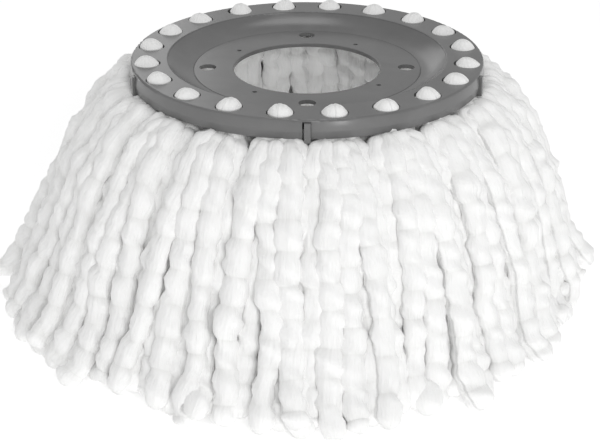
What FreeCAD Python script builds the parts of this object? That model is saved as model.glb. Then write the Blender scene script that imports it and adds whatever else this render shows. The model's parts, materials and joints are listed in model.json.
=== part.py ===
"""Round spin-mop head: a moulded top disc, a clamp ring snapped up under its rim, and
twenty bundles of looped microfibre strands. Each bundle is folded over the ring's bar.
Its fold shows as a bump in a hole of the rim, and its strands hang below and flare out.

Millimetres. +Z is up, the disc's axis is Z, and the strands stand on the plane Z = 0.
"""
import FreeCAD, Part

import math
import os

import Sketcher

SIZES = {
    # top disc
    "disc_radius": 80.0,       # outermost radius of the skirt
    "rim_level": 114.0,        # top of the rim above the floor
    "wall": 1.8,               # thickness of the rim, the dish and its floor
    "skirt_height": 8.5,       # from the rim's top to the skirt's lower edge
    "skirt_wall": 1.2,
    "skirt_belly": 0.5,        # the skirt's widest line stands this far out of its edges
    "rim_round": 1.0,          # rounding where the rim turns down into the skirt
    "hole_edge": 0.3,          # material between a rim hole and the skirt's inner face
    "hole_radius": 5.9,        # rim hole that a fold pokes through
    "rim_land": 2.9,           # flat rim inside the holes, up to the dish
    "dish_step": 0.5,          # small rounding at the dish's upper edge
    "dish_slope": 11.1,        # radial width of the dish's sloping wall
    "dish_drop": 5.85,         # depth of the dish's floor below the rim
    "bore_radius": 33.2,       # centre hole for the handle's plate
    "bore_round": 0.4,         # rounding of the centre hole's upper edge
    "groove_width": 0.6,       # fine groove between the dish's wall and its floor
    "groove_depth": 0.3,
    "pin_radius": 3.8,         # four locating holes in the dish's floor
    "pin_inset": 6.7,          # from the locating holes' centres out to the dish's wall
    "drain_radius": 1.1,       # four drain holes
    "drain_inset": 5.8,        # from the drain holes' centres in to the centre hole
    "drain_turn": 54.0,        # where the first drain hole stands, in degrees
    # clamp ring
    "ring_fit": 0.3,           # radial play between the ring and the skirt
    "ring_height": 3.8,
    "ring_band": 1.7,          # width of the ring's inner band
    "bar_width": 3.0,          # the bar that a bundle is folded over
    "window_depth": 3.0,       # radial size of the windows on both sides of the bar
    "window_width": 10.0,
    "rib_width": 2.0,
    # snap tabs of the ring, each in a slot of the skirt
    "tab_count": 5,
    "tab_width": 2.7,
    "tab_reach": 1.0,          # how far a tab stands out of the skirt
    "tab_drop": 1.3,           # how far a tab hangs below the skirt
    "slot_roof": 1.0,          # material left above a slot
    "slot_top_gap": 0.2,
    "slot_side_gap": 0.2,      # gap on the side that a tab bears against
    "slot_open_gap": 0.8,      # gap on its other side
    # bundles of strands
    "bundle_count": 20,
    "fold_gap": 0.3,           # between a fold and the hole or window round it
    "fold_rise": 4.4,          # height of a fold above the rim
    "soft_gap": 0.3,           # between a hanging bundle and whatever is above it
    "bundle_gap": 1.0,         # angle between two hanging bundles, in degrees
    "flare_width": 57.0,       # how far the strands' tips stand out past their hinge
    "shoulder_width": 20.0,    # where the strands turn down, out from their hinge
    "shoulder_drop": 15.9,     # and down from it
    "shoulder_bend": 30.0,     # radius of that turn
    "fall_bend": 190.0,        # radius of the long curve from there to the tips
    "foot_rise": 5.0,          # height of the tips' widest point above the floor
    "foot_inset": 3.0,         # how far the foot's outer edge is drawn in at the floor
    "foot_depth": 34.0,        # radial depth of the bundle where it stands
    "inner_drop": 9.0,         # straight part of the bundle's inner face
    "inner_bend": 200.0,       # radius of the inner face below it
}

# Derived places, as expressions of the sheet's values
SKIRT_INNER = "(sizes.disc_radius - sizes.skirt_belly - sizes.skirt_wall)"
SKIRT_LEVEL = "(sizes.rim_level - sizes.skirt_height)"
HOLE_CIRCLE = f"({SKIRT_INNER} - sizes.hole_edge - sizes.hole_radius)"
DISH_RADIUS = f"({HOLE_CIRCLE} - sizes.hole_radius - sizes.rim_land)"
FLOOR_RADIUS = f"({DISH_RADIUS} - sizes.dish_step - sizes.dish_slope)"
FLOOR_LEVEL = "(sizes.rim_level - sizes.dish_drop)"
PIN_CIRCLE = f"({FLOOR_RADIUS} - sizes.pin_inset)"
DRAIN_CIRCLE = "(sizes.bore_radius + sizes.drain_inset)"
RING_OUTER = f"({SKIRT_INNER} - sizes.ring_fit)"
RING_TOP = f"({SKIRT_LEVEL} + sizes.ring_height)"
WINDOW_REACH = "(sizes.bar_width / 2 + sizes.window_depth)"
RING_INNER = f"({HOLE_CIRCLE} - {WINDOW_REACH} - sizes.ring_band)"
BAND_INNER = f"({HOLE_CIRCLE} + {WINDOW_REACH})"
RIM_UNDERSIDE = "(sizes.rim_level - sizes.wall)"
TAB_RADIUS = "(sizes.disc_radius + sizes.tab_reach)"
TAB_LEVEL = f"({SKIRT_LEVEL} - sizes.tab_drop)"
SLOT_TOP = "(sizes.rim_level - sizes.slot_roof)"
FOLD_RADIUS = "(sizes.hole_radius - sizes.fold_gap)"
FOLD_REACH = f"({WINDOW_REACH} - sizes.fold_gap)"
FOLD_WIDTH = "(sizes.window_width - 2 * sizes.fold_gap)"
PITCH = "(360 / sizes.bundle_count)"
# The strands bend over the lower outer edge of the skirt and its tabs, and hinge there
HINGE_RADIUS = f"({TAB_RADIUS} + sizes.soft_gap)"
HINGE_LEVEL = f"({TAB_LEVEL} - sizes.soft_gap)"
TIP_RADIUS = f"({HINGE_RADIUS} + sizes.flare_width)"

doc = FreeCAD.newDocument("spin_mop_head")
sheet = doc.addObject("Spreadsheet::Sheet", "sizes")
for row, (alias, size) in enumerate(SIZES.items(), start=1):
    sheet.set(f"A{row}", alias.replace("_", " "))
    sheet.set(f"B{row}", str(size))
    sheet.setAlias(f"B{row}", alias)
doc.recompute()


def value(expression):
    """The number that an expression of the sheet's values gives now."""
    return float(sheet.evalExpression(str(expression)))


def new_body(name):
    body = doc.addObject("PartDesign::Body", name)
    body.Label = name
    return body


def sketch_on(body, role, name, turn="0"):
    """An empty sketch on one of the body's own origin planes, turned about its normal."""
    sketch = body.newObject("Sketcher::SketchObject", name)
    plane = next(f for f in body.Origin.OriginFeatures if f.Role == role)
    sketch.AttachmentSupport = [(plane, "")]
    sketch.MapMode = "FlatFace"
    sketch.setExpression("AttachmentOffset.Rotation.Angle", turn)
    return sketch


def pin_point(sketch, geometry, end, place):
    """Ties a point of the sketch to its distances from the sketch's axes."""
    for kind, distance in zip(("DistanceX", "DistanceY"), place):
        rule = Sketcher.Constraint(kind, -1, 1, geometry, end, value(distance))
        sketch.setExpression(f"Constraints[{sketch.addConstraint(rule)}]", distance)


def arc_between(start, end, radius):
    """An arc that runs counter-clockwise from start to end."""
    chord = end - start
    half = chord.Length / 2
    left = FreeCAD.Vector(-chord.y, chord.x, 0).normalize()
    centre = (start + end) / 2 + left * math.sqrt(radius**2 - half**2)
    angles = [math.atan2(p.y - centre.y, p.x - centre.x) for p in (start, end)]
    circle = Part.Circle(centre, FreeCAD.Vector(0, 0, 1), radius)
    return Part.ArcOfCircle(circle, *angles)


def draw_outline(sketch, places, bends=None):
    """A closed outline, counter-clockwise through the places. bends gives, by a place's
    number, the radius of the arc that leaves it and whether the arc bulges "out" or "in".
    The rest is straight."""
    bends = bends or {}
    points = [FreeCAD.Vector(value(u), value(v), 0) for u, v in places]
    first = sketch.GeometryCount
    ends = {}
    for n, start in enumerate(points):
        end = points[(n + 1) % len(points)]
        if n not in bends:
            edge, ends[n] = Part.LineSegment(start, end), (1, 2)
        elif bends[n][1] == "out":
            edge, ends[n] = arc_between(start, end, value(bends[n][0])), (1, 2)
        else:
            edge, ends[n] = arc_between(end, start, value(bends[n][0])), (2, 1)
        sketch.addGeometry(edge)
    for n in range(len(points)):
        after = (n + 1) % len(points)
        joined = Sketcher.Constraint(
            "Coincident", first + n, ends[n][1], first + after, ends[after][0])
        sketch.addConstraint(joined)
        pin_point(sketch, first + n, ends[n][0], places[n])
        if n in bends:
            rule = Sketcher.Constraint("Radius", first + n, value(bends[n][0]))
            sketch.setExpression(f"Constraints[{sketch.addConstraint(rule)}]", bends[n][0])


def draw_box(sketch, low_u, high_u, low_v, high_v):
    draw_outline(sketch, [(low_u, low_v), (high_u, low_v), (high_u, high_v), (low_u, high_v)])


def draw_circle(sketch, place, radius):
    centre = FreeCAD.Vector(value(place[0]), value(place[1]), 0)
    shape = Part.Circle(centre, FreeCAD.Vector(0, 0, 1), value(radius))
    number = sketch.addGeometry(shape)
    pin_point(sketch, number, 3, place)
    rule = Sketcher.Constraint("Radius", number, value(radius))
    sketch.setExpression(f"Constraints[{sketch.addConstraint(rule)}]", radius)


def revolve(body, sketch, angle="360"):
    """Turns a section about Z, half of the angle to each side."""
    feature = body.newObject("PartDesign::Revolution", f"{sketch.Name}_turned")
    feature.Profile = sketch
    feature.ReferenceAxis = (sketch, ["V_Axis"])
    feature.setExpression("Angle", angle)
    feature.Midplane = True
    return feature


def extrude(body, kind, sketch, length, both_ways=False):
    """Pads or pockets a sketch. From the XY plane both go upwards."""
    feature = body.newObject(f"PartDesign::{kind}", f"{sketch.Name}_{kind.lower()}")
    feature.Profile = sketch
    feature.setExpression("Length", length)
    feature.Midplane = both_ways
    feature.Reversed = kind == "Pocket"
    return feature


def repeat(body, feature, count):
    """Repeats a feature round the body's Z axis."""
    pattern = body.newObject("PartDesign::PolarPattern", f"{feature.Name}_ring")
    pattern.Originals = [feature]
    axis = next(f for f in body.Origin.OriginFeatures if f.Role == "Z_Axis")
    pattern.Axis = (axis, [""])
    pattern.Angle = 360
    pattern.setExpression("Occurrences", count)
    body.Tip = pattern
    return pattern


def make_top_disc():
    """The moulded disc: skirt, flat rim, sloping dish wall and floor with a centre hole."""
    body = new_body("top_disc")
    section = sketch_on(body, "XZ_Plane", "disc_section")
    skirt_edge = "sizes.disc_radius - sizes.skirt_belly"
    inside_rim = f"{FLOOR_RADIUS} + sizes.wall / 3"
    draw_outline(section, [
        (SKIRT_INNER, SKIRT_LEVEL),
        (skirt_edge, SKIRT_LEVEL),
        ("sizes.disc_radius", f"{SKIRT_LEVEL} + sizes.skirt_height * 0.4"),
        (skirt_edge, "sizes.rim_level - sizes.rim_round"),
        (f"{skirt_edge} - sizes.rim_round", "sizes.rim_level"),
        (DISH_RADIUS, "sizes.rim_level"),
        (f"{DISH_RADIUS} - sizes.dish_step", "sizes.rim_level - sizes.dish_step"),
        (FLOOR_RADIUS, FLOOR_LEVEL),
        (f"{FLOOR_RADIUS} - sizes.groove_width / 2", f"{FLOOR_LEVEL} - sizes.groove_depth"),
        (f"{FLOOR_RADIUS} - sizes.groove_width", FLOOR_LEVEL),
        ("sizes.bore_radius + sizes.bore_round", FLOOR_LEVEL),
        ("sizes.bore_radius", f"{FLOOR_LEVEL} - sizes.bore_round"),
        ("sizes.bore_radius", f"{FLOOR_LEVEL} - sizes.wall"),
        (inside_rim, f"{FLOOR_LEVEL} - sizes.wall"),
        (f"{DISH_RADIUS} + sizes.wall / 3", RIM_UNDERSIDE),
        (SKIRT_INNER, RIM_UNDERSIDE),
    ], {2: ("sizes.skirt_height * 3", "out"), 3: ("sizes.rim_round", "out"),
        5: ("sizes.dish_step", "out"), 6: ("sizes.dish_slope * 2", "in"),
        10: ("sizes.bore_round", "out")})
    revolve(body, section)

    holes = sketch_on(body, "XY_Plane", "rim_hole", f"{PITCH} / 2")
    draw_circle(holes, (HOLE_CIRCLE, "0"), "sizes.hole_radius")
    repeat(body, extrude(body, "Pocket", holes, "sizes.rim_level + sizes.wall"),
           "sizes.bundle_count")
    pins = sketch_on(body, "XY_Plane", "locating_hole")
    draw_circle(pins, (PIN_CIRCLE, "0"), "sizes.pin_radius")
    repeat(body, extrude(body, "Pocket", pins, "sizes.rim_level + sizes.wall"), "4")
    drains = sketch_on(body, "XY_Plane", "drain_hole", "sizes.drain_turn")
    draw_circle(drains, (DRAIN_CIRCLE, "0"), "sizes.drain_radius")
    repeat(body, extrude(body, "Pocket", drains, "sizes.rim_level + sizes.wall"), "4")

    slots = sketch_on(body, "XY_Plane", "skirt_slot", "-90")
    draw_box(slots, BAND_INNER, f"{TAB_RADIUS} + sizes.wall",
             "-sizes.tab_width / 2 - sizes.slot_open_gap",
             "sizes.tab_width / 2 + sizes.slot_side_gap")
    repeat(body, extrude(body, "Pocket", slots, SLOT_TOP), "sizes.tab_count")
    return body


def make_clamp_ring():
    """The ring that holds the folds up: bands, the bar between its windows, ribs and tabs."""
    body = new_body("clamp_ring")
    section = sketch_on(body, "XZ_Plane", "ring_section")
    draw_box(section, RING_INNER, RING_OUTER, SKIRT_LEVEL, RING_TOP)
    revolve(body, section)

    windows = sketch_on(body, "XY_Plane", "window_pair", f"{PITCH} / 2")
    half_bar, half_width = "sizes.bar_width / 2", "sizes.window_width / 2"
    draw_box(windows, f"{HOLE_CIRCLE} - {WINDOW_REACH}", f"{HOLE_CIRCLE} - {half_bar}",
             f"-{half_width}", half_width)
    draw_box(windows, f"{HOLE_CIRCLE} + {half_bar}", BAND_INNER, f"-{half_width}", half_width)
    repeat(body, extrude(body, "Pocket", windows, f"{RING_TOP} + sizes.wall"),
           "sizes.bundle_count")

    ribs = sketch_on(body, "XY_Plane", "rib")
    draw_box(ribs, f"{RING_INNER} + sizes.rib_width / 2", f"{RING_OUTER} - sizes.rib_width / 2",
             "-sizes.rib_width / 2", "sizes.rib_width / 2")
    ribs.setExpression("AttachmentOffset.Base.z", SKIRT_LEVEL)
    repeat(body, extrude(body, "Pad", ribs, f"{RIM_UNDERSIDE} - {SKIRT_LEVEL}"),
           "sizes.bundle_count")

    tabs = sketch_on(body, "XY_Plane", "snap_tab", "-90")
    draw_box(tabs, f"{BAND_INNER} + sizes.slot_side_gap", TAB_RADIUS,
             "-sizes.tab_width / 2", "sizes.tab_width / 2")
    tabs.setExpression("AttachmentOffset.Base.z", TAB_LEVEL)
    repeat(body, extrude(body, "Pad", tabs, f"{SLOT_TOP} - sizes.slot_top_gap - {TAB_LEVEL}"),
           "sizes.tab_count")
    return body


def place_round(body, number, radius):
    """Moves a bundle's piece out to a radius at the bundle's own angle."""
    turn = f"(-90 + {PITCH} * ({number} - 0.5))"
    body.setExpression("Placement.Rotation.Angle", turn)
    body.setExpression("Placement.Base.x", f"{radius} * cos({turn})")
    body.setExpression("Placement.Base.y", f"{radius} * sin({turn})")


def make_fold(number):
    """The folded middle of a bundle: a domed neck in the rim's hole, with a leg on each
    side of the ring's bar."""
    body = new_body(f"fold_{number:02d}")
    saddle = sketch_on(body, "XZ_Plane", f"saddle_section_{number:02d}")
    half_bar = "(sizes.bar_width / 2 + sizes.fold_gap)"
    leg_top = f"{RING_TOP} + sizes.fold_gap"
    draw_outline(saddle, [
        (f"-{FOLD_REACH}", SKIRT_LEVEL),
        (f"-{half_bar}", SKIRT_LEVEL),
        (f"-{half_bar}", leg_top),
        (half_bar, leg_top),
        (half_bar, SKIRT_LEVEL),
        (FOLD_REACH, SKIRT_LEVEL),
        (FOLD_REACH, f"{RIM_UNDERSIDE} - sizes.fold_gap"),
        (f"-{FOLD_REACH}", f"{RIM_UNDERSIDE} - sizes.fold_gap"),
    ])
    extrude(body, "Pad", saddle, FOLD_WIDTH, both_ways=True)

    dome = sketch_on(body, "XZ_Plane", f"dome_section_{number:02d}")
    dome_bend = f"({FOLD_RADIUS}^2 + sizes.fold_rise^2) / (2 * sizes.fold_rise)"
    draw_outline(dome, [
        ("0", leg_top),
        (FOLD_RADIUS, leg_top),
        (FOLD_RADIUS, "sizes.rim_level"),
        ("0", "sizes.rim_level + sizes.fold_rise"),
    ], {2: (dome_bend, "out")})
    revolve(body, dome)
    place_round(body, number, HOLE_CIRCLE)
    return body


def make_bundle(number):
    """The hanging strands of a bundle, as one plain curved wedge that swings on a hinge."""
    body = new_body(f"tuft_{number:02d}")
    section = sketch_on(body, "XZ_Plane", f"tuft_section_{number:02d}")
    inner_face = f"{HOLE_CIRCLE} - {FOLD_REACH}"
    draw_outline(section, [
        (inner_face, f"{HINGE_LEVEL} - sizes.inner_drop"),
        (f"{TIP_RADIUS} - sizes.foot_inset - sizes.foot_depth", "0"),
        (f"{TIP_RADIUS} - sizes.foot_inset", "0"),
        (TIP_RADIUS, "sizes.foot_rise"),
        (f"{HINGE_RADIUS} + sizes.shoulder_width", f"{HINGE_LEVEL} - sizes.shoulder_drop"),
        (f"{HINGE_RADIUS} + sizes.foot_inset", HINGE_LEVEL),
        (inner_face, HINGE_LEVEL),
    ], {0: ("sizes.inner_bend", "in"), 3: ("sizes.fall_bend", "out"),
        4: ("sizes.shoulder_bend", "out")})
    revolve(body, section, f"{PITCH} - sizes.bundle_gap")
    place_round(body, number, "0")
    return body


bundles = range(1, int(SIZES["bundle_count"]) + 1)
pieces = [make_top_disc(), make_clamp_ring()]
pieces += [make_fold(number) for number in bundles]
pieces += [make_bundle(number) for number in bundles]
doc.recompute()

for thing in doc.Objects:
    if {"Invalid", "Error"} & set(thing.State):
        raise RuntimeError(f"{thing.Label} failed: {thing.State}")
for piece in pieces:
    if piece.Shape.isNull() or not piece.Shape.isValid() or len(piece.Shape.Solids) != 1:
        raise RuntimeError(f"{piece.Label} is not one valid solid")

os.makedirs("parts", exist_ok=True)
for piece in pieces:
    piece.Shape.exportStep(f"parts/{piece.Label}.step")
print(len(pieces), "pieces written")
print("centre hole radius", value("sizes.bore_radius"), "from", value(FLOOR_LEVEL))
print("hole circle", value(HOLE_CIRCLE), "locating holes' circle", value(PIN_CIRCLE),
      "drain holes' circle", value(DRAIN_CIRCLE), "dish", value(DISH_RADIUS),
      value(FLOOR_RADIUS))
print("hinges at radius", value(HINGE_RADIUS), "and level", value(HINGE_LEVEL))
for piece in pieces[:3] + pieces[22:23]:
    print(piece.Label, round(piece.Shape.Volume), piece.Shape.BoundBox)
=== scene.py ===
# %% [markdown]
# # A spin-mop head: grey moulded disc, white beaded microfibre strands
# The head is a flat plastic disc with twenty bundles of chenille strands clipped under its
# rim. The plastic parts come straight from the CAD model, because their shape is exact
# there. The strands are soft, so this script makes them: it lays each strand out along the
# curve it falls in, lets the strands push each other apart, and skins each one with beads.

import json
import math

import bpy
import numpy as np
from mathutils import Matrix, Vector


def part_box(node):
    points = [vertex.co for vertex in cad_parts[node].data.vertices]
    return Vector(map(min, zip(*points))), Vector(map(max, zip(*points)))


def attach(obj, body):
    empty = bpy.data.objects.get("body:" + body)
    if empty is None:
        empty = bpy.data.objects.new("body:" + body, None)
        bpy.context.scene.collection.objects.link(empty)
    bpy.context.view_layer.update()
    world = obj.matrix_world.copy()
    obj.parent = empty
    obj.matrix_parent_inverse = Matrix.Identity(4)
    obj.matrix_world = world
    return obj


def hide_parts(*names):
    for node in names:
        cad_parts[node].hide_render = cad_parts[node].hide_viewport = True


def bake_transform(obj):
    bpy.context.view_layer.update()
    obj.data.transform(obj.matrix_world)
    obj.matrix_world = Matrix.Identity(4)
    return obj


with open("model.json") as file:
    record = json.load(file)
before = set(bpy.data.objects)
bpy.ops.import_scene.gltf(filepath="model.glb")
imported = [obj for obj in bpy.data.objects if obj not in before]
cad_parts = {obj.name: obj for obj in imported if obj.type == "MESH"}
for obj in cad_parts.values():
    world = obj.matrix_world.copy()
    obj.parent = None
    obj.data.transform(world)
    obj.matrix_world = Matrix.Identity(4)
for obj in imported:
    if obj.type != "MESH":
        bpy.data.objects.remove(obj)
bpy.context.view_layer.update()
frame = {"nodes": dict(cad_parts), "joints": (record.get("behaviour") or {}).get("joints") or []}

# %% [markdown]
# ## Sizes
# Blender works in metres, and the strands are easier to think about in millimetres, so one
# factor turns one into the other. The disc's sizes are read from the CAD nodes, and the
# place of each bundle from its hinge, so nothing is measured twice. A bundle lies along its
# own direction from the axis, so most places are given as a distance out along it, a
# distance to its side, and a height above the floor.

# %% Sizes read from the frame, in millimetres
MM = 0.001
disc_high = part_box("top_disc")[1] / MM
fold_low, fold_high = (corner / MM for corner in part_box("fold_05"))
hinges = [Vector(joint["pos_m"]) / MM for joint in frame["joints"]]
bundle_angles = [math.atan2(hinge.y, hinge.x) for hinge in hinges]
bundle_count = len(hinges)
hinge_radius = hinges[0].xy.length
hinge_level = hinges[0].z
disc_radius = disc_high.x
rim_level = disc_high.z
fold_rise = fold_high.z - rim_level
fold_centre = (fold_low + fold_high) / 2
hole_circle = fold_centre.xy.length
skirt_level = fold_low.z
pitch = 2 * math.pi / bundle_count


def on_head(angle, out, side, up):
    """Points given by how far out, to the side and up they are, in a bundle's direction."""
    cosine, sine = math.cos(angle), math.sin(angle)
    return np.stack([out * cosine - side * sine, out * sine + side * cosine, up], axis=-1)


print(bundle_count, "bundles on a circle of", round(hole_circle, 2), "rim at", rim_level)

# %% [markdown]
# ## Camera
# The head is small, so a long lens stands well back and looks down at it by about 25
# degrees. That keeps the disc's circles close to true ellipses and the strands' feet in
# view. The camera is aimed by its own pitch and turn, with no shift, and depth of field
# stays off.

# %% Camera
CAMERA_PLACE = (-1.8, -692.2, rim_level + 243.7)
CAMERA_PITCH = 25.23
CAMERA_TURN = 0.115
LENS = 96.9
CLIP_END = 20


def add_camera():
    data = bpy.data.cameras.new("camera")
    data.lens = LENS
    data.clip_end = CLIP_END
    camera = bpy.data.objects.new("camera", data)
    bpy.context.scene.collection.objects.link(camera)
    camera.location = Vector(CAMERA_PLACE) * MM
    camera.rotation_euler = (math.radians(90 - CAMERA_PITCH), 0, math.radians(CAMERA_TURN))
    bpy.context.scene.camera = camera
    return camera


camera = add_camera()
print("camera at", tuple(round(c, 4) for c in camera.location))

# %% [markdown]
# ## Small helpers for materials
# A colour is written as the sRGB hex value that an eye would pick, and Blender wants linear
# light, so one function turns it. Another adds a node, sets it up and links it.

# %% Colour and node helpers


def linear(hex_colour):
    """An sRGB hex colour as the linear RGBA that a shader takes."""
    parts = [int(hex_colour[i:i + 2], 16) / 255 for i in (1, 3, 5)]
    parts = [p / 12.92 if p <= 0.04045 else ((p + 0.055) / 1.055) ** 2.4 for p in parts]
    return (*parts, 1)


def add_node(tree, kind, settings=None, inputs=None):
    """Adds a node. An input is a plain value or the (node, output name) that feeds it."""
    node = tree.nodes.new(kind)
    for name, setting in (settings or {}).items():
        setattr(node, name, setting)
    for name, source in (inputs or {}).items():
        if isinstance(source, tuple) and isinstance(source[0], bpy.types.Node):
            tree.links.new(source[0].outputs[source[1]], node.inputs[name])
        else:
            node.inputs[name].default_value = source
    return node


def new_material(name):
    """A material with nothing in it but its output."""
    material = bpy.data.materials.new(name)
    material.use_nodes = True
    material.node_tree.nodes.clear()
    output = add_node(material.node_tree, "ShaderNodeOutputMaterial")
    return material, material.node_tree, output


# %% [markdown]
# ## Grey polypropylene
# The disc and the ring are injection-moulded polypropylene. The mould is lightly spark
# eroded, so the surface is semi-matt: broad soft highlights, a very fine grain, and faint
# flow marks a few centimetres long. Its IOR is 1.49. The real grain is near 0.1 mm, and it
# is drawn at 0.5 mm so that it shows.

# %% Polypropylene
GRAIN_MM = 0.5
GRAIN_DEPTH_MM = 0.05
FLOW_MM = 22.0
PLASTIC_GREYS = ("#6a6a6a", "#737373")


def make_polypropylene():
    material, tree, output = new_material("moulded_grey_polypropylene")
    place = add_node(tree, "ShaderNodeTexCoord")
    grain = add_node(tree, "ShaderNodeTexNoise", {}, {
        "Vector": (place, "Object"), "Scale": 1 / (GRAIN_MM * MM), "Detail": 2.0})
    flow = add_node(tree, "ShaderNodeTexNoise", {}, {
        "Vector": (place, "Object"), "Scale": 1 / (FLOW_MM * MM), "Detail": 4.0,
        "Distortion": 0.6})
    colour = add_node(tree, "ShaderNodeValToRGB", {}, {"Fac": (flow, "Fac")})
    for stop, position, grey in zip(colour.color_ramp.elements, (0.3, 0.7), PLASTIC_GREYS):
        stop.position = position
        stop.color = linear(grey)
    rough = add_node(tree, "ShaderNodeMapRange", {}, {
        "Value": (flow, "Fac"), "To Min": 0.19, "To Max": 0.28})
    bump = add_node(tree, "ShaderNodeBump", {}, {
        "Height": (grain, "Fac"), "Strength": 0.06, "Distance": GRAIN_DEPTH_MM * MM})
    shader = add_node(tree, "ShaderNodeBsdfPrincipled", {}, {
        "Base Color": (colour, "Color"), "Roughness": (rough, "Result"), "IOR": 1.49,
        "Normal": (bump, "Normal")})
    tree.links.new(shader.outputs["BSDF"], output.inputs["Surface"])
    return material


polypropylene = make_polypropylene()
print("made", polypropylene.name)

# %% [markdown]
# ## White microfibre chenille
# Each strand is split polyester and polyamide yarn, looped and tufted into beads. It
# scatters light many times, so it is near white, fully matt, and has a soft sheen where it
# turns away. The loops run lengthwise, so the fine pattern follows the strand: it reads the
# UV map, where U goes round the strand and V along it, both in metres. Loops are about
# 0.3 mm thick, and drawn at 0.9 mm so that they show. The creases between the beads are
# painted a little greyer, as painted shade for the fibres shading each other there.
#
# The strands touch and press into each other, and scattering under the surface would go
# dark along those lines, so the softness comes from the near-white colour and the even
# light instead.

# %% Microfibre
LOOP_MM = 0.9
LOOP_LENGTH_MM = 6.0
LOOP_DEPTH_MM = 0.9
MIX_SHARE, MIX_A, MIX_B, MIX_RESULT = 0, 6, 7, 2


def make_microfibre():
    material, tree, output = new_material("white_microfibre_chenille")
    flat = add_node(tree, "ShaderNodeUVMap", {"uv_map": "strand"})
    stretched = add_node(tree, "ShaderNodeMapping", {}, {
        "Vector": (flat, "UV"),
        "Scale": (1 / (LOOP_MM * MM), 1 / (LOOP_LENGTH_MM * MM), 1)})
    loops = add_node(tree, "ShaderNodeTexNoise", {}, {
        "Vector": (stretched, "Vector"), "Scale": 1.0, "Detail": 3.0, "Distortion": 0.4})
    crease = add_node(tree, "ShaderNodeAttribute", {"attribute_name": "crease"})
    fibre_colour = add_node(tree, "ShaderNodeMix", {"data_type": "RGBA"}, {
        MIX_SHARE: (loops, "Fac"), MIX_A: linear("#f9f9f8"), MIX_B: linear("#fdfdfd")})
    # Painted shade: the colour turns a greyer white towards the creases between the beads.
    colour = add_node(tree, "ShaderNodeMix", {"data_type": "RGBA"}, {
        MIX_SHARE: (crease, "Fac"), MIX_A: (fibre_colour, MIX_RESULT),
        MIX_B: linear("#f5f5f4")})
    bump = add_node(tree, "ShaderNodeBump", {}, {
        "Height": (loops, "Fac"), "Strength": 0.6, "Distance": LOOP_DEPTH_MM * MM})
    shader = add_node(tree, "ShaderNodeBsdfPrincipled", {}, {
        "Base Color": (colour, MIX_RESULT), "Roughness": 0.95, "IOR": 1.5,
        "Specular IOR Level": 0.2, "Sheen Weight": 0.15, "Sheen Roughness": 0.5,
        "Normal": (bump, "Normal")})
    tree.links.new(shader.outputs["BSDF"], output.inputs["Surface"])
    return material


microfibre = make_microfibre()
print("made", microfibre.name)

# %% [markdown]
# ## The plastic parts
# The disc and the clamp ring are moulded solids whose sizes are known. Their CAD meshes are
# kept as they are, and only get the plastic's material.

# %% Dress the CAD plastic


def dress(node_name, material):
    mesh = frame["nodes"][node_name].data
    mesh.materials.clear()
    mesh.materials.append(material)


for node_name in ("top_disc", "clamp_ring"):
    dress(node_name, polypropylene)
    print(node_name, len(frame["nodes"][node_name].data.polygons), "faces")

# %% [markdown]
# ## How a bundle falls
# A strand leaves its window under the ring, bends over the skirt's lower edge, and falls
# outwards in a long curve to the floor. The outermost and the innermost strands of a bundle
# are drawn as two lines of points, out and up from the hinge. The layers between them are
# shares of the two. Under the skirt the outermost strands are gathered, which leaves narrow
# gaps between the bundles there, and the deeper ones are wider apart and fill in behind.
# Lower down the strands spread over the bundle's whole sector. Every bundle leans and
# reaches a little differently, and no two strands wander alike. A place along a strand is
# given as a share of its length, from 0 in the window to 1 at the foot.

# %% The layout of the strands
OUTER_FALL = [(-6.2, 4.1), (-3.0, -1.8), (3.4, -4.2), (9.6, -10), (16.8, -21), (26, -38),
              (35.8, -61.5), (45, -86), (57.5, -103.2)]
INNER_FALL = [(-12.3, 4.1), (-12, -3), (-11, -11), (-9, -21), (-6, -33), (-1.5, -49),
              (3.5, -65), (8, -80), (12, -92), (15.5, -103.2)]
LAYERS = (0.0, 0.13, 0.36, 0.62, 0.92)
ACROSS = ((-0.72, 0.0, 0.72), (-0.95, -0.36, 0.36, 0.95), (-0.7, 0.0, 0.7), (-0.5, 0.5),
          (-0.82, 0.0, 0.82))
BUNDLE_REACH = (9, -2, -8, -12, -9, -3, -3, 3, -2, 4, 0, -4, 2, 3, -5, 6, 5, 1, 5, 6)
STEP_COUNT = 24
STRAND_LENGTHS = (0.94, 1.0)
NECK_HALF_WIDTH = 4.0
NECK_RADIUS = 2.4
SHOULDER_RADIUS = 5.0
BEAD_RADIUS = 5.3
# Each pair is a share of the strand's length and the value there.
THICKNESS = ((0, NECK_RADIUS), (0.03, NECK_RADIUS), (0.09, SHOULDER_RADIUS),
             (0.3, BEAD_RADIUS), (1, BEAD_RADIUS))
OPEN_OUT = ((0, 0), (0.12, 1))
GATHERED = 0.62
DEEPER_GATHERED = 0.78
GATHERED_UNTIL = 0.13
SPREAD_FROM = 0.5
BUNDLE_LEAN = 1.8
BUNDLE_SPREADS = (0.84, 1.0)
ROW_SHIFT = 0.06
LOOSENING = 1.2
INNER_CALM = 0.6
# A sway is its size in millimetres and how fast it swings along the strand.
SWAY_OUT = (1.8, 5)
SWAYS_ASIDE = ((2.4, 6), (1.3, 13))
SHIFT_OUT = 1.6
SHIFT_ASIDE = 2.2
FOOT_SLIDE = 7.0
FOOT_PARTS = 6
seeded = np.random.default_rng(20)


def along(points, shares):
    """Points at even shares of the length of a curve through the given points."""
    knots = np.r_[0, np.cumsum(np.linalg.norm(np.diff(points, axis=0), axis=1))]
    at = np.asarray(shares) * knots[-1]
    n = np.clip(np.searchsorted(knots, at, side="right") - 1, 0, len(points) - 2)
    padded = np.vstack([2 * points[0] - points[1], points, 2 * points[-1] - points[-2]])
    before, start, end, after = (padded[n + k] for k in range(4))
    u = ((at - knots[n]) / (knots[n + 1] - knots[n]))[:, None]
    cubic = 3 * (start - end) + after - before
    square = 2 * before - 5 * start + 4 * end - after
    return start + u / 2 * (end - before + u * (square + u * cubic))


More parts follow.
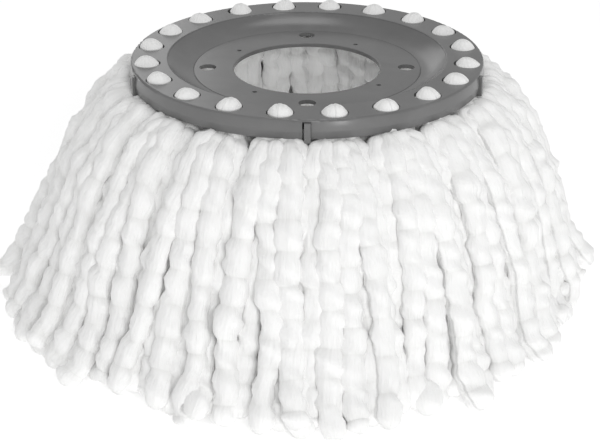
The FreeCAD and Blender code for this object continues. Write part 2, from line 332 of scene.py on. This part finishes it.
def sway(shares, phase, size, wave):
    """How far a strand swings to and fro along its length, in millimetres."""
    return size * np.sin(wave * shares + phase)


def lay_strand(angle, layer, across, reach, lean, spread):
    """Points of one strand before it meets its neighbours, in millimetres."""
    shares = np.linspace(0, seeded.uniform(*STRAND_LENGTHS), STEP_COUNT)
    fall = [np.array(points, float) for points in (OUTER_FALL, INNER_FALL)]
    ends = [along(points, shares) for points in fall]
    line = ends[0] * (1 - layer) + ends[1] * layer
    out, up = hinge_radius + line[:, 0], hinge_level + line[:, 1]
    loose = shares ** LOOSENING * (1 - INNER_CALM * layer)
    phase = seeded.uniform(0, 2 * math.pi, 3)
    out += loose * (sway(shares, phase[0], *SWAY_OUT) + seeded.normal(0, SHIFT_OUT))
    out += reach * shares ** 2
    foot = np.clip(shares * FOOT_PARTS - (FOOT_PARTS - 1), 0, 1)
    out += seeded.uniform(-0.5, 1) * FOOT_SLIDE * foot ** 2
    half_width = out * math.tan(pitch / 2)
    open_out = np.interp(shares, *zip(*OPEN_OUT))
    gathered = GATHERED if layer == 0 else DEEPER_GATHERED
    tightness = np.interp(shares, [GATHERED_UNTIL, SPREAD_FROM], [gathered, spread])
    widening = (half_width * tightness - NECK_HALF_WIDTH) * open_out
    side = across * (NECK_HALF_WIDTH + widening)
    side += lean * shares ** 1.5 + seeded.normal(0, SHIFT_ASIDE) * shares ** 2
    side += loose * sum(sway(shares, start, *wave)
                        for start, wave in zip(phase[1:], SWAYS_ASIDE))
    return on_head(angle, out, side, up)


def lay_bundle(angle, reach):
    """All the strands of one bundle, which lean and spread together."""
    lean, spread = seeded.normal(0, BUNDLE_LEAN), seeded.uniform(*BUNDLE_SPREADS)
    return [lay_strand(
        angle, layer, across + seeded.normal(0, ROW_SHIFT), reach, lean, spread)
        for layer, across in rows]


rows = [(layer, across) for layer, row in zip(LAYERS, ACROSS) for across in row]
laid = np.array([lay_bundle(*bundle) for bundle in zip(bundle_angles, BUNDLE_REACH)])
step_shares = np.linspace(0, 1, STEP_COUNT)
radii = np.interp(step_shares, *zip(*THICKNESS))
print("laid", laid.shape[0] * laid.shape[1], "strands of", STEP_COUNT, "steps")

# %% [markdown]
# ## Let the strands push each other apart
# Real strands press against each other, rest on the floor and lean on the skirt. Cloth is
# the wrong tool for thick strands, so this is a small strand simulation: each step is a
# soft ball, balls of different strands push apart where they overlap, and each strand stays
# smooth and near the place it was laid. The balls are smaller than the strands, so beads
# that touch press into each other a little, as soft ones do. An outer strand has to stay
# inside its own bundle's sector: well inside it under the skirt, and less so at its foot.

# %% Settle the strands
ROUNDS = 28
HELD_STEPS = 2
PUSH = 0.22
SMOOTHING = 0.25
PULL_BACK = 0.05
SKIRT_GAP = 0.4
LEAST_ROOM = 1.0
# Each pair is a share of the strand's length and a number of strand radii there.
CONTACT = ((0.1, 0.55), (0.35, 0.77))
OUTER_ROOM = ((0.1, 1.5), (0.5, 1.55), (0.9, 0.9))
INNER_ROOM = 0.5
RESTING = 0.97
TIP_HEIGHT = 0.6
HEIGHT_PER_STEP = 5.0
contact_radii = radii * np.interp(step_shares, *zip(*CONTACT))
outer_room = radii * np.interp(step_shares, *zip(*OUTER_ROOM))
inner_room = radii * INNER_ROOM
side_room = np.array([outer_room if layer == 0 else inner_room for layer, _ in rows])
steps_from_tip = np.arange(STEP_COUNT)[::-1]
floor_room = np.minimum(radii * RESTING, TIP_HEIGHT + HEIGHT_PER_STEP * steps_from_tip)


def push_apart(steps):
    """One round of contact between the strands of each bundle and its two neighbours."""
    moved = np.zeros_like(steps)
    count, strands, length, _ = steps.shape
    ball = np.tile(contact_radii, strands)
    owner = np.repeat(np.arange(strands), length)
    for n in range(count):
        mine = steps[n].reshape(-1, 3)
        for m in (n - 1, n, (n + 1) % count):
            other = steps[m].reshape(-1, 3)
            apart = mine[:, None] - other[None]
            distance = np.linalg.norm(apart, axis=2) + 1e-6
            overlap = ball[:, None] + ball[None] - distance
            if m == n:
                overlap[owner[:, None] == owner[None]] = 0
            push = np.clip(overlap, 0, None) / distance * PUSH
            moved[n] += (apart * push[..., None]).sum(1).reshape(strands, length, 3)
    return moved


def keep_clear(steps):
    """Keeps each step off the floor, out of the skirt and in its bundle's own sector."""
    steps[..., 2] = np.maximum(steps[..., 2], floor_room)
    for n, angle in enumerate(bundle_angles):
        outward = np.array([math.cos(angle), math.sin(angle)])
        sideward = np.array([-math.sin(angle), math.cos(angle)])
        out, side = steps[n, ..., :2] @ outward, steps[n, ..., :2] @ sideward
        room = np.maximum(out * math.tan(pitch / 2) - side_room, LEAST_ROOM)
        side = np.clip(side, -room, room)
        edge_out, edge_up = out - disc_radius, steps[n, ..., 2] - skirt_level
        gap = np.hypot(edge_out, edge_up)
        short = np.clip(radii + SKIRT_GAP - gap, 0, None) / np.maximum(gap, 0.1)
        near = edge_out > -radii
        out = out + edge_out * short * near
        steps[n, ..., 2] += edge_up * short * near
        beside = (edge_up > 0) & (out > disc_radius)
        out = np.where(beside, np.maximum(out, disc_radius + radii + SKIRT_GAP), out)
        steps[n, ..., :2] = out[..., None] * outward + side[..., None] * sideward
    return steps


def settle(steps):
    """The strands after all their rounds of pushing, smoothing and keeping clear."""
    start = steps.copy()
    for _ in range(ROUNDS):
        steps = steps + push_apart(steps)
        middle = (steps[:, :, :-2] + steps[:, :, 2:]) / 2
        steps[:, :, 1:-1] += SMOOTHING * (middle - steps[:, :, 1:-1])
        steps += PULL_BACK * (start - steps)
        steps[:, :, :HELD_STEPS] = start[:, :, :HELD_STEPS]
        steps = keep_clear(steps)
    return steps


settled = settle(laid)
print("strands moved", round(float(np.abs(settled - laid).mean()), 2), "mm on average")

# %% [markdown]
# ## Skin a strand with beads
# A chenille strand of this kind is tufted in beads, like a row of small soft cushions with
# a crease between them. Rings of points are swept along the strand. The radius swells over
# each bead and drops at each crease, and rings are closer together there. Loose tufting
# makes the beads 10 to 16 mm long. Some creases are tight and some nearly vanish, shallow
# pleats run lengthwise, and soft lumps run on from bead to bead, so no two beads are alike.
# What is drawn for each bead passes smoothly into the next one, so no edge shows between
# them.

# %% The beads of a strand
BEAD_LENGTHS = (10.5, 16.0)
BEAD_FULLNESS = (2.0, 2.7)
BEAD_SIZES = (0.87, 1.13)
BEAD_SHIFT = 0.7
STRAND_SIZES = (0.92, 1.06)
CREASES = (0.8, 0.95)
RINGS_PER_BEAD = 10
PLEATS = (3, 7, 11)
PLEAT_DEPTHS = (0.05, 0.22)
FLATTENED = 0.35
# A lump's turns round the strand, and the length in millimetres over which it comes back.
LUMPS = ((1, 23.0), (2, 11.0), (3, 7.0), (1, 9.0))
LUMP_DEPTH = 0.3
FLOOR_SKIN = 0.1
ANY_PHASE = (0, 6.3)


def bead_stations(length):
    """Where the rings lie along a strand, with each one's bead and its place in it."""
    edges = [-seeded.uniform(0, BEAD_LENGTHS[0])]
    while edges[-1] < length - BEAD_LENGTHS[1]:
        edges.append(edges[-1] + seeded.uniform(*BEAD_LENGTHS))
    edges.append(length)
    turn = (1 - np.cos(np.linspace(0, math.pi, RINGS_PER_BEAD + 1))) / 2
    stations = [(start + (end - start) * u, b, u)
                for b, (start, end) in enumerate(zip(edges, edges[1:])) for u in turn[:-1]]
    stations = [station for station in stations if station[0] >= 0]
    return np.array(stations + [(length, len(edges) - 2, 1.0)]), len(edges) - 1


def cross_frames(line):
    """Two directions across the strand at each ring, turning as little as they can."""
    ahead = np.gradient(line, axis=0)
    ahead /= np.linalg.norm(ahead, axis=1)[:, None]
    first = np.cross(ahead[0], (0, 0, 1.0)) + 1e-6
    sides = [first / np.linalg.norm(first)]
    for tangent in ahead[1:]:
        turned = sides[-1] - tangent * (sides[-1] @ tangent)
        sides.append(turned / np.linalg.norm(turned))
    sides = np.array(sides)
    return sides, np.cross(ahead, sides)


def eased(values, bead, inside):
    """A value drawn for each bead, passing smoothly from the middle of one to the next."""
    at = np.clip(bead + inside - 0.5, 0, len(values) - 1.001)
    before = at.astype(int)
    share = at - before
    share = (share * share * (3 - 2 * share)).reshape(-1, *[1] * (values.ndim - 1))
    return values[before] * (1 - share) + values[before + 1] * share


def pleated(round_angle, bead, inside, beads):
    """Shallow lengthwise pleats and a slight flattening, drawn anew for each bead."""
    waves = sum(seeded.uniform(*PLEAT_DEPTHS, (beads, 1)) * np.sin(
        k * round_angle[None] + seeded.uniform(*ANY_PHASE, (beads, 1))) for k in PLEATS)
    flattened = np.sin(2 * round_angle[None] + seeded.uniform(*ANY_PHASE, (beads, 1)))
    return eased(waves + FLATTENED * flattened, bead, inside)


def lumpy(round_angle, distance):
    """Soft lumps that turn round the strand and run on from bead to bead."""
    return sum(LUMP_DEPTH * np.sin(k * round_angle[None] + seeded.uniform(*ANY_PHASE)
                                   + 2 * math.pi * distance[:, None] / wave)
               for k, wave in LUMPS)


def skin_strand(steps, points_round):
    """Rings of a beaded strand: places in millimetres, painted crease shade and UV."""
    length = np.linalg.norm(np.diff(steps, axis=0), axis=1).sum()
    stations, beads = bead_stations(length)
    distance, bead, inside = stations[:, 0], stations[:, 1].astype(int), stations[:, 2]
    line = along(steps, distance / length)
    side, up = cross_frames(line)
    fullness = seeded.uniform(*BEAD_FULLNESS, beads)[bead]
    middle = 1 - np.abs(2 * inside - 1) ** fullness
    thick = np.interp(distance / length, step_shares, radii)
    thick = thick * seeded.uniform(*STRAND_SIZES)
    thick = thick * eased(seeded.uniform(*BEAD_SIZES, beads), bead, inside)
    waists = seeded.uniform(*CREASES, beads + 1)
    crease = waists[bead] * (1 - inside) + waists[bead + 1] * inside
    tip = np.clip((distance - length) / BEAD_RADIUS + 1, 0, 0.999)
    swell = (crease + (1 - crease) * middle) * np.sqrt(1 - tip ** 2)
    wander = [eased(seeded.normal(0, BEAD_SHIFT, (beads, 1)), bead, inside)
              for _ in range(2)]
    line = line + side * wander[0] + up * wander[1]
    round_angle = np.linspace(0, 2 * math.pi, points_round, endpoint=False)
    uneven = pleated(round_angle, bead, inside, beads) + lumpy(round_angle, distance)
    thick, swell = thick[:, None], swell[:, None]
    reach = thick * swell + uneven * swell * thick / BEAD_RADIUS
    places = (line[:, None] + reach[..., None] * (
        np.cos(round_angle)[None, :, None] * side[:, None]
        + np.sin(round_angle)[None, :, None] * up[:, None]))
    places[..., 2] = np.maximum(places[..., 2], FLOOR_SKIN)
    # The second value is painted shade, 0 in the middle of a bead and 1 at a crease.
    return places, np.repeat(1 - middle, points_round), distance, round_angle


def tube_faces(rings, points_round, offset):
    """Quads between the rings of a tube, and a fan of one face at each end."""
    ring, point = np.meshgrid(np.arange(rings - 1), np.arange(points_round), indexing="ij")
    after = (point + 1) % points_round
    near, far = ring * points_round, (ring + 1) * points_round
    quads = np.stack([near + point, near + after, far + after, far + point], -1)
    ends = [list(range(points_round))[::-1],
            list(range((rings - 1) * points_round, rings * points_round))]
    return [list(face + offset) for face in quads.reshape(-1, 4)] + [
        [corner + offset for corner in end] for end in ends]


def build_mesh(name, tubes, material):
    """One object from several tubes, each (places, crease, lengths, angles)."""
    points, faces, crease_shades, flats = [], [], [], []
    for places, crease, lengths, angles in tubes:
        rings, points_round = places.shape[:2]
        faces += tube_faces(rings, points_round, len(points))
        points += [tuple(p) for p in (places.reshape(-1, 3) * MM)]
        crease_shades.append(crease)
        around = angles * BEAD_RADIUS * MM
        flats += [(u, v) for v in lengths * MM for u in around]
    mesh = bpy.data.meshes.new(name)
    mesh.from_pydata(points, [], faces)
    # The crease attribute holds painted shade for the colour between the beads.
    mesh.attributes.new("crease", "FLOAT", "POINT").data.foreach_set(
        "value", np.concatenate(crease_shades).astype(np.float32))
    flats = np.array(flats, np.float32)
    corners = np.zeros(len(mesh.loops), np.int32)
    mesh.loops.foreach_get("vertex_index", corners)
    mesh.uv_layers.new(name="strand").data.foreach_set("uv", flats[corners].ravel())
    mesh.polygons.foreach_set("use_smooth", [True] * len(mesh.polygons))
    mesh.materials.append(material)
    piece = bpy.data.objects.new(name, mesh)
    bpy.context.scene.collection.objects.link(piece)
    return piece


# %% [markdown]
# ## The hanging bundles
# One piece per bundle replaces the plain CAD wedge. A bundle is held in the ring at its
# root. The outer strands are seen from close by and get more points round than the inner
# ones.

# %% Build the bundles
POINTS_ROUND = (30, 30, 24, 16, 16)


for n, angle in enumerate(bundle_angles):
    number = f"{n + 1:02d}"
    tubes = [skin_strand(settled[n, s], POINTS_ROUND[LAYERS.index(layer)])
             for s, (layer, _) in enumerate(rows)]
    bundle = build_mesh(f"strands_{number}", tubes, microfibre)
    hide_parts(f"tuft_{number}")
    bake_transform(bundle)
print("bundle", number, "has", len(bundle.data.vertices), "points")

# %% [markdown]
# ## The folds in the rim
# Where a bundle is folded over the ring's bar, its strands stand up through the rim's hole
# as a soft white bump. It is a dome with fairly straight flanks and a peak that is never
# in the middle. It fills the hole less well on some sides, so a dark sliver shows there.
# Fine grooves between the fibres run over it, along the way the bundle is folded. Below it,
# a neck goes down through the hole to a flattened leg on each side of the bar.

# %% Build the folds
DOME_ROUND = 56
DOME_RINGS = 18
FOLD_RADIUS = 5.35
# How many waves go round the outline, and their depth as a share of the radius.
OUTLINE_WAVES = ((2, 0.03), (5, 0.015))
RISES = (0.7, 0.88)
FLANKS = (1.9, 2.5)
PEAK_SHIFT = 0.7
OFF_CENTRE = 0.4
NECK_LEVELS = (-4.0, -1.5, -0.3)
GROOVE_PITCH = 2.3
GROOVE_DEPTH = 0.3
LEG_ROUND = 20
LEG_OFFSET = 2.9
# The level, half width and half depth of each ring of a leg.
LEG_RINGS = ((-2.2, 4.2, 1.3), (-4.5, 4.3, 1.2), (-8.3, 4.3, 1.2))


def dome(angle):
    """Rings of a fold from the foot of its neck to its peak, in millimetres."""
    turn = np.linspace(0, 2 * math.pi, DOME_ROUND, endpoint=False)
    outline = FOLD_RADIUS * sum((depth * np.sin(k * turn + seeded.uniform(*ANY_PHASE))
                                 for k, depth in OUTLINE_WAVES), start=1)
    rise, flank = fold_rise * seeded.uniform(*RISES), seeded.uniform(*FLANKS)
    peak, centre = seeded.normal(0, PEAK_SHIFT, 2), seeded.normal(0, OFF_CENTRE, 2)
    phase = seeded.uniform(0, 1)
    flat = np.stack([outline * np.cos(turn), outline * np.sin(turn)], 1)
    rings = [np.column_stack([flat, np.full(DOME_ROUND, level)]) for level in NECK_LEVELS]
    for share in np.cos(np.linspace(0.12, 0.5 * math.pi, DOME_RINGS)):
        share = max(share, 0.02)
        place = flat * share + peak * (1 - share)
        groove = np.abs(np.sin(math.pi * (place[:, 1] / GROOVE_PITCH + phase))) ** 0.5
        sunk = GROOVE_DEPTH * (1 - groove) * (1 - share ** 4)
        height = rise * (1 - share ** flank) - sunk
        rings.append(np.column_stack([place, height]))
    local = np.array(rings)
    local[..., :2] += centre
    places = on_head(angle, hole_circle + local[..., 0], local[..., 1],
                     rim_level + local[..., 2])
    lengths = np.linspace(0, 12, len(rings))
    return places, np.zeros(places.shape[0] * DOME_ROUND), lengths, turn


def leg(angle, out):
    """A flattened leg of a fold, from inside its neck down through a window."""
    turn = np.linspace(0, 2 * math.pi, LEG_ROUND, endpoint=False)
    rings = [on_head(angle, out + depth * np.cos(turn), width * np.sin(turn),
                     np.full(LEG_ROUND, rim_level + level))
             for level, width, depth in LEG_RINGS]
    return np.array(rings), np.zeros(len(rings) * LEG_ROUND), np.array([0.0, 3, 7]), turn


for n, angle in enumerate(bundle_angles):
    number = f"{n + 1:02d}"
    parts = [dome(angle), leg(angle, hole_circle - LEG_OFFSET),
             leg(angle, hole_circle + LEG_OFFSET)]
    fold = build_mesh(f"bump_{number}", parts, microfibre)
    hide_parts(f"fold_{number}")
    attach(fold, "head")
print("made", bundle_count, "folds")

# %% [markdown]
# ## Floor and light
# The head stands on a plain white sweep in a bright, soft studio. An even white sky fills
# the shadows between the strands. A soft box at the front right, a little above the lens,
# gives the beads their shape and shines in through the centre hole. One at the back puts a
# sheen on the far left of the rim, and one hangs above, for the dish's sloping wall. Two
# low strips, at the right and at the left, put the highlights on the skirt. The lamps are
# hidden from the camera, and they light the head and the floor all the same.

# %% Floor
FLOOR_SIZE = 6.0
SWEEP_GLOW = 0.36


def add_floor():
    bpy.ops.mesh.primitive_plane_add(size=FLOOR_SIZE)
    floor = bpy.context.object
    floor.name = "floor"
    material, tree, output = new_material("white_paper_sweep")
    shader = add_node(tree, "ShaderNodeBsdfPrincipled", {}, {
        "Base Color": linear("#fafafa"), "Roughness": 0.9,
        "Emission Color": linear("#ffffff"), "Emission Strength": SWEEP_GLOW})
    tree.links.new(shader.outputs["BSDF"], output.inputs["Surface"])
    floor.data.materials.append(material)
    return floor


floor = add_floor()

# %% Light
SKY_STRENGTH = 0.52
# Each lamp's place, the height it aims at on the axis, its width and height, and its power.
SOFT_BOXES = {
    "soft_box_front": ((0.32, -1.3, 0.62), 0.09, (0.35, 0.35), 4.1),
    "soft_box_back": ((-0.38, 1.36, 0.62), 0.1, (0.5, 0.5), 0.75),
    "strip_right": ((0.44, -1.22, 0.16), 0.11, (0.1, 0.22), 1.6),
    "strip_left": ((-1.08, 0.73, 0.16), 0.11, (0.1, 0.22), 0.9),
    "soft_box_above": ((0.05, 0.25, 1.1), 0.1, (0.4, 0.4), 1.4),
}


def add_soft_box(name, place, aim_height, size, power):
    data = bpy.data.lights.new(name, "AREA")
    data.shape = "RECTANGLE"
    data.size, data.size_y = size
    data.energy = power
    lamp = bpy.data.objects.new(name, data)
    bpy.context.scene.collection.objects.link(lamp)
    lamp.location = place
    aim = Vector((0, 0, aim_height)) - Vector(place)
    lamp.rotation_euler = aim.to_track_quat("-Z", "Y").to_euler()
    lamp.visible_camera = False
    return lamp


def light_sky(strength):
    world = bpy.data.worlds.new("white_studio")
    world.use_nodes = True
    background = world.node_tree.nodes["Background"]
    background.inputs["Color"].default_value = linear("#ffffff")
    background.inputs["Strength"].default_value = strength
    bpy.context.scene.world = world


light_sky(SKY_STRENGTH)
for name, settings in SOFT_BOXES.items():
    add_soft_box(name, *settings)
bpy.context.scene.view_settings.view_transform = "Standard"
print("lit by a sky and", len(SOFT_BOXES), "lamps")
